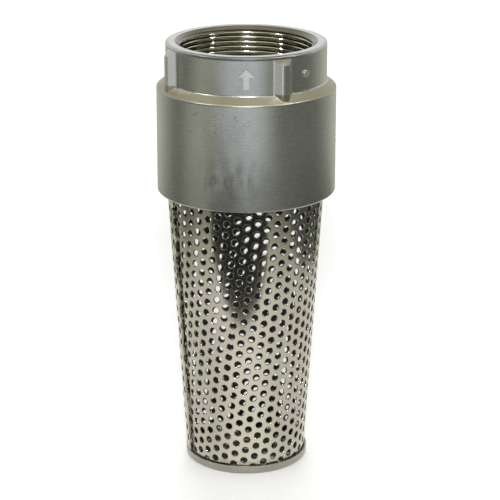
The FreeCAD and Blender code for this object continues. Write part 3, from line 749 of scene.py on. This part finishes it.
def add_skins(shell, sheet):
    """The outer face, then the inner one."""
    for depth, sign in ((0.0, 1.0), (SHEET, -1.0)):
        for point in sheet.points:
            place, outward, _, _ = rolled(point, depth)
            shell.vertex(place, outward * sign)
    count = len(sheet.points)
    for a, b, c in sheet.triangles:
        shell.face((a, b, c))
        shell.face((a + count, c + count, b + count))


def add_hole_wall(shell, centre, rim, count):
    """The wall of a hole, rounded over at the outer face and broken at the inner one."""
    levels = [rim]
    turn = math.atan2(centre.x, centre.y)
    for depth in (HOLE_ROUNDING * 0.9, SHEET - HOLE_ROUNDING * 0.6):
        ring = []
        for direction in spokes():
            place, _, upward, around = rolled(centre + direction * HOLE, depth)
            radial = direction.x * math.sin(turn) + direction.y * math.cos(turn)
            across = direction.x * math.cos(turn) - direction.y * math.sin(turn)
            ring.append(shell.vertex(place, -(upward * radial + around * across)))
        levels.append(ring)
    levels.append([corner + count for corner in rim])
    for top, low in zip(levels, levels[1:]):
        for k in range(HOLE_SIDES):
            after = (k + 1) % HOLE_SIDES
            shell.face((top[k], top[after], low[after], low[k]))


def add_edge_wall(shell, border, count):
    """The sheet's cut edge, square to its faces."""
    for a, b in zip(border, border[1:] + border[:1]):
        along = shell.vertices[b] - shell.vertices[a]
        inward = shell.vertices[a + count] - shell.vertices[a]
        shell.face((a, b, b + count, a + count), [along.cross(inward).normalized()] * 4)


def make_screen():
    """The perforated sheet, with every hole cut through."""
    sheet = FlatSheet()
    shell = Shell()
    add_skins(shell, sheet)
    for centre, rim in zip(sheet.centres, sheet.rims):
        add_hole_wall(shell, centre, rim, len(sheet.points))
    add_edge_wall(shell, sheet.border, len(sheet.points))
    screen = add_object("strainer_sheet", shell.mesh("strainer_sheet", MATERIALS["sheet_steel"]))
    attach(screen, "valve")
    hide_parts("strainer_screen")


make_screen()

# ---------------------------------------------------------------- return spring

SPRING_BOTTOM = 146.0 * MM
SPRING_TOP = 166.0 * MM
SPRING_WIRE = 0.6 * MM
SPRING_LOW_RADIUS = 13.0 * MM
SPRING_HIGH_RADIUS = 10.0 * MM
SPRING_END_TURNS = 1.0
SPRING_OPEN_TURNS = 3.6
SPRING_CLOSED_RISE = 2 * SPRING_WIRE * 1.02
SPRING_STEPS = 44
SPRING_SIDES = 12


def coil_path():
    """A conical coil with closed end turns."""
    turns = 2 * SPRING_END_TURNS + SPRING_OPEN_TURNS
    rise = SPRING_TOP - SPRING_BOTTOM - 2 * SPRING_WIRE
    steps = int(turns * SPRING_STEPS)
    path = []
    for k in range(steps + 1):
        turn = turns * k / steps
        if turn < SPRING_END_TURNS:
            z = SPRING_CLOSED_RISE * turn / SPRING_END_TURNS
        elif turn > SPRING_END_TURNS + SPRING_OPEN_TURNS:
            z = rise - SPRING_CLOSED_RISE * (turns - turn) / SPRING_END_TURNS
        else:
            share = (turn - SPRING_END_TURNS) / SPRING_OPEN_TURNS
            z = SPRING_CLOSED_RISE + (rise - 2 * SPRING_CLOSED_RISE) * share
        radius = SPRING_LOW_RADIUS + (SPRING_HIGH_RADIUS - SPRING_LOW_RADIUS) * z / rise
        angle = math.tau * turn
        height = SPRING_BOTTOM + SPRING_WIRE + z
        path.append(Vector((radius * math.cos(angle), radius * math.sin(angle), height)))
    return path


def make_spring():
    path = coil_path()
    vertices = []
    for k, centre in enumerate(path):
        ahead = path[min(k + 1, len(path) - 1)] - path[max(k - 1, 0)]
        ahead.normalize()
        out = Vector((centre.x, centre.y, 0.0)).normalized()
        up = ahead.cross(out).normalized()
        out = up.cross(ahead)
        for side in range(SPRING_SIDES):
            angle = math.tau * side / SPRING_SIDES
            vertices.append(centre + (out * math.cos(angle) + up * math.sin(angle)) * SPRING_WIRE)
    faces = ring_faces(len(path) - 1, SPRING_SIDES)
    last = (len(path) - 1) * SPRING_SIDES
    faces.append(tuple(reversed(range(SPRING_SIDES))))
    faces.append(tuple(range(last, last + SPRING_SIDES)))
    mesh = bpy.data.meshes.new("coil_spring")
    mesh.from_pydata([tuple(v) for v in vertices], [], faces)
    mesh.shade_smooth()
    mesh.materials.append(MATERIALS["spring_steel"])
    spring = add_object("coil_spring", mesh)
    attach(spring, "valve")
    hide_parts("return_spring")
    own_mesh(spring)


make_spring()

# ---------------------------------------------------------------- stage and light

# The studio, as the valve mirrors it. Emission strengths are for a white of 1.
FLOOR_REACH = 3.0
ROOM = 2.4
ROOM_RINGS = 16
ROOM_SIDES = 48
ROOM_SINK = 0.01
ROOM_DARK = 0.06
ROOM_BEHIND = 0.85
ROOM_ABOVE = 0.42
ROOM_OVER_FRONT = 0.75
ROOM_WHITE = (1.0, 1.0, 0.98)
WARM = (1.0, 0.95, 0.72)
COOL = (0.95, 0.99, 1.05)
GREENISH = (0.97, 1.0, 0.82)
IVORY = (1.0, 0.99, 0.94)

# The floor's mirrored tones, by direction and distance from the valve. They lie just over the real floor.
TONE_LIFT = 1.0 * MM
TONE_SIDES = 64
TONE_FROM = 0.034
TONE_TO = 0.98 * ROOM
NEAR_REACH = 0.20
NEAR_FADE = 0.31
NEAR_TONE = 0.97
NEAR_FRONT_TONE = 0.30
SIDE_TONE = 0.165
BEHIND_TONE = 0.42
LEFT_TONE = 0.29
LEFT_DIP = 0.35
FRONT_TONE = 0.74
SOFT_TURN = 24.0

# Dark cards on the floor, out of shot. The strainer mirrors them as its two dark patches.
CARD_LIFT = 1.4 * MM
FRONT_CARD = (
    (-0.225, -0.160),
    (-0.313, -0.295),
    (-0.160, -0.400),
    (0.0, -0.430),
    (0.120, -0.415),
    (0.225, -0.367),
    (0.118, -0.196),
    (-0.010, -0.163),
)
RIGHT_CARD = (
    (0.276, -0.231),
    (0.345, -0.289),
    (0.443, -0.078),
    (0.423, 0.154),
    (0.289, 0.345),
    (0.174, 0.207),
    (0.235, 0.086),
    (0.244, -0.021),
    (0.263, -0.096),
)

# Lights: place, target, size in metres and power in watts.
WORLD_STRENGTH = 0.57
KEY = ((-0.05, -1.6, 0.75), (0, 0, 0.14), (0.7, 0.9), 6.0)
KEY_COLOUR = (0.90, 0.95, 1.0)
FLOOR_FILL = ((0.0, -2.0, 1.1), (0, 0.1, 0), (0.25, 0.25), 44.0)
BACK_FILL = ((0.0, 2.6, 1.7), (0, 2.6, 0), (1.6, 1.0), 70.0)
STRIP_TARGET = (0, 0, 0.18)
STRIP_SIDE = 0.70
STRIP_FRONT = -0.58
STRIP_SIDE_SETBACK = 0.36
STRIP_UP = 1.00
STRIP_SIDE_DROP = 0.12
STRIP_LENGTH = 0.22
STRIP_WIDTH = 0.025
CENTRE_STRIP_WIDTH = 0.032
STRIP_POWER_BY_WIDTH = 104.0


def stage_object(name, corners, faces, material, smooth=False):
    mesh = bpy.data.meshes.new(name)
    mesh.from_pydata(corners, [], faces)
    if smooth:
        mesh.shade_smooth()
    mesh.materials.append(material)
    made = add_object(name, mesh)
    return made


def stage_sheet(name, outline, height, material):
    """A flat sheet with a given outline."""
    corners = [(x, y, height) for x, y in outline]
    return stage_object(name, corners, [tuple(range(len(corners)))], material)


def circle(radius, height, sides):
    turns = [math.tau * side / sides for side in range(sides)]
    return [(radius * math.cos(turn), radius * math.sin(turn), height) for turn in turns]


def glossy_only(made):
    """Seen only in reflections, like the parts of a studio that are out of shot."""
    made.visible_camera = False
    made.visible_diffuse = False
    made.visible_transmission = False
    made.visible_volume_scatter = False
    made.visible_shadow = False


def floor_material():
    s = Shader("pale_floor", 0.0)
    tone = s.noise(s.place, 14.0, 3.0)
    colour = s.mix(tone, (0.90, 0.90, 0.895), (0.93, 0.93, 0.925))
    return s.finish(colour, 0.65, s.bump(s.noise(s.place, 900.0, 2.0), 0.05 * MM))


def card_material(name, colour, strength):
    material = bpy.data.materials.new(name)
    material.use_nodes = True
    tree = material.node_tree
    tree.nodes.clear()
    out = tree.nodes.new("ShaderNodeOutputMaterial")
    light = tree.nodes.new("ShaderNodeEmission")
    light.inputs["Color"].default_value = (*colour, 1.0)
    light.inputs["Strength"].default_value = strength
    tree.links.new(light.outputs[0], out.inputs[0])
    return material


def emit(s, colour, strength):
    s.tree.links.new(colour, s.surface.inputs["Emission Color"])
    s.tree.links.new(strength, s.surface.inputs["Emission Strength"])
    return s.finish((0.0, 0.0, 0.0), 1.0)


def room_material():
    """Bright low behind the object, warm overhead, dark at its sides and in front."""
    s = Shader("studio_room", 0.0)
    above = s.ramp(s.z, ROOM * 0.45, ROOM * 0.80)
    behind = s.times(s.ramp(s.y, 0.0, ROOM * 0.4), s.math("SUBTRACT", 1.0, above))
    over_front = s.times(
        s.between(s.z, ROOM * 0.64, ROOM * 0.93, ROOM * 0.08),
        s.ramp(s.y, -0.1 * ROOM, -0.3 * ROOM),
    )
    light = s.math("ADD", ROOM_DARK, s.times(behind, ROOM_BEHIND))
    light = s.math("ADD", light, s.times(above, ROOM_ABOVE))
    light = s.math("ADD", light, s.times(over_front, ROOM_OVER_FRONT))
    warmth = s.times(above, s.math("SUBTRACT", 1.0, over_front))
    return emit(s, s.mix(warmth, ROOM_WHITE, WARM), light)


def floor_tone_material():
    """What the valve mirrors of the floor: bright near it and far in front, dim at the sides."""
    s = Shader("floor_tone", 0.0)
    turn = s.math("ARCTAN2", s.x, s.times(s.y, -1.0))
    angle = s.times(turn, math.degrees(1.0))
    behind = s.ramp(s.math("ABSOLUTE", angle), 100.0, 140.0)
    left = s.between(angle, -92.0, 0.0, SOFT_TURN)
    front = s.times(s.between(angle, -46.0, 40.0, SOFT_TURN), s.ramp(s.radius, 0.38, 0.62, 0.25, 1.0))
    light = s.math("ADD", SIDE_TONE, s.times(behind, BEHIND_TONE))
    light = s.math("ADD", light, s.times(left, LEFT_TONE))
    light = s.math("ADD", light, s.times(front, FRONT_TONE))
    dip = s.times(left, s.between(s.radius, 0.26, 0.41, 0.04), LEFT_DIP)
    light = s.times(light, s.math("SUBTRACT", 1.0, dip))
    near = s.ramp(s.radius, NEAR_FADE, NEAR_REACH)
    near_front = s.times(s.between(angle, -50.0, 54.0, 1.5 * SOFT_TURN), NEAR_FRONT_TONE)
    light = s.blend(near, light, s.math("ADD", near_front, NEAR_TONE))
    return emit(s, s.mix(near, s.mix(front, GREENISH, COOL), IVORY), light)


def make_floor_tone():
    """A flat ring just over the floor, from beside the valve out to the room's wall."""
    corners = circle(TONE_FROM, TONE_LIFT, TONE_SIDES) + circle(TONE_TO, TONE_LIFT, TONE_SIDES)
    return stage_object("floor_tone", corners, ring_faces(1, TONE_SIDES), floor_tone_material())


def make_room():
    """A dome round the whole stage."""
    corners = []
    for ring in range(ROOM_RINGS + 1):
        rise = math.pi / 2 * ring / ROOM_RINGS
        corners += circle(ROOM * math.cos(rise), ROOM * math.sin(rise) - ROOM_SINK, ROOM_SIDES)
    faces = ring_faces(ROOM_RINGS, ROOM_SIDES)
    return stage_object("studio_room", corners, faces, room_material(), smooth=True)


def make_stage():
    reach = FLOOR_REACH
    square = ((-reach, -reach), (reach, -reach), (reach, reach), (-reach, reach))
    stage_sheet("floor", square, 0.0, floor_material())
    dark = card_material("dark_room", (0.9, 1.0, 1.0), 0.02)
    dim = card_material("dim_room", (0.98, 1.0, 0.95), 0.11)
    front = stage_sheet("front_dark", FRONT_CARD, CARD_LIFT, dark)
    right = stage_sheet("right_dark", RIGHT_CARD, CARD_LIFT, dim)
    for made in (front, right, make_floor_tone(), make_room()):
        glossy_only(made)


def make_world():
    world = bpy.data.worlds.new("studio")
    world.use_nodes = True
    background = world.node_tree.nodes["Background"]
    background.inputs["Color"].default_value = (1.0, 1.0, 0.99, 1.0)
    background.inputs["Strength"].default_value = WORLD_STRENGTH
    SCENE.world = world


def area_light(name, place, target, size, power, colour=(1.0, 1.0, 1.0)):
    data = bpy.data.lights.new(name, "AREA")
    data.shape = "RECTANGLE"
    data.size, data.size_y = size
    data.energy = power
    data.color = colour
    light = add_object(name, data)
    light.location = place
    light.rotation_euler = (Vector(target) - Vector(place)).to_track_quat("-Z", "Y").to_euler()
    light.visible_camera = False
    return light


def strip_light(offset):
    """One of three narrow lights over the front; each draws one highlight down the thread's crests."""
    setback = STRIP_SIDE_SETBACK * abs(offset)
    drop = STRIP_SIDE_DROP * abs(offset)
    place = (STRIP_SIDE * offset, STRIP_FRONT + setback, STRIP_UP - drop)
    width = STRIP_WIDTH if offset else CENTRE_STRIP_WIDTH
    return area_light("strip", place, STRIP_TARGET, (width, STRIP_LENGTH), STRIP_POWER_BY_WIDTH * width)


def make_lights():
    """The mirrored lights don't reach the floor, and the floor's lights aren't mirrored."""
    key = area_light("key", *KEY, KEY_COLOUR)
    strips = [strip_light(offset) for offset in (-1, 0, 1)]
    for light in (key, *strips):
        light.visible_diffuse = False
    for light in (area_light("floor_fill", *FLOOR_FILL), area_light("back_fill", *BACK_FILL)):
        light.visible_glossy = False


make_stage()
make_world()
make_lights()
SCENE.view_settings.view_transform = "Standard"
SCENE.cycles.use_denoising = True
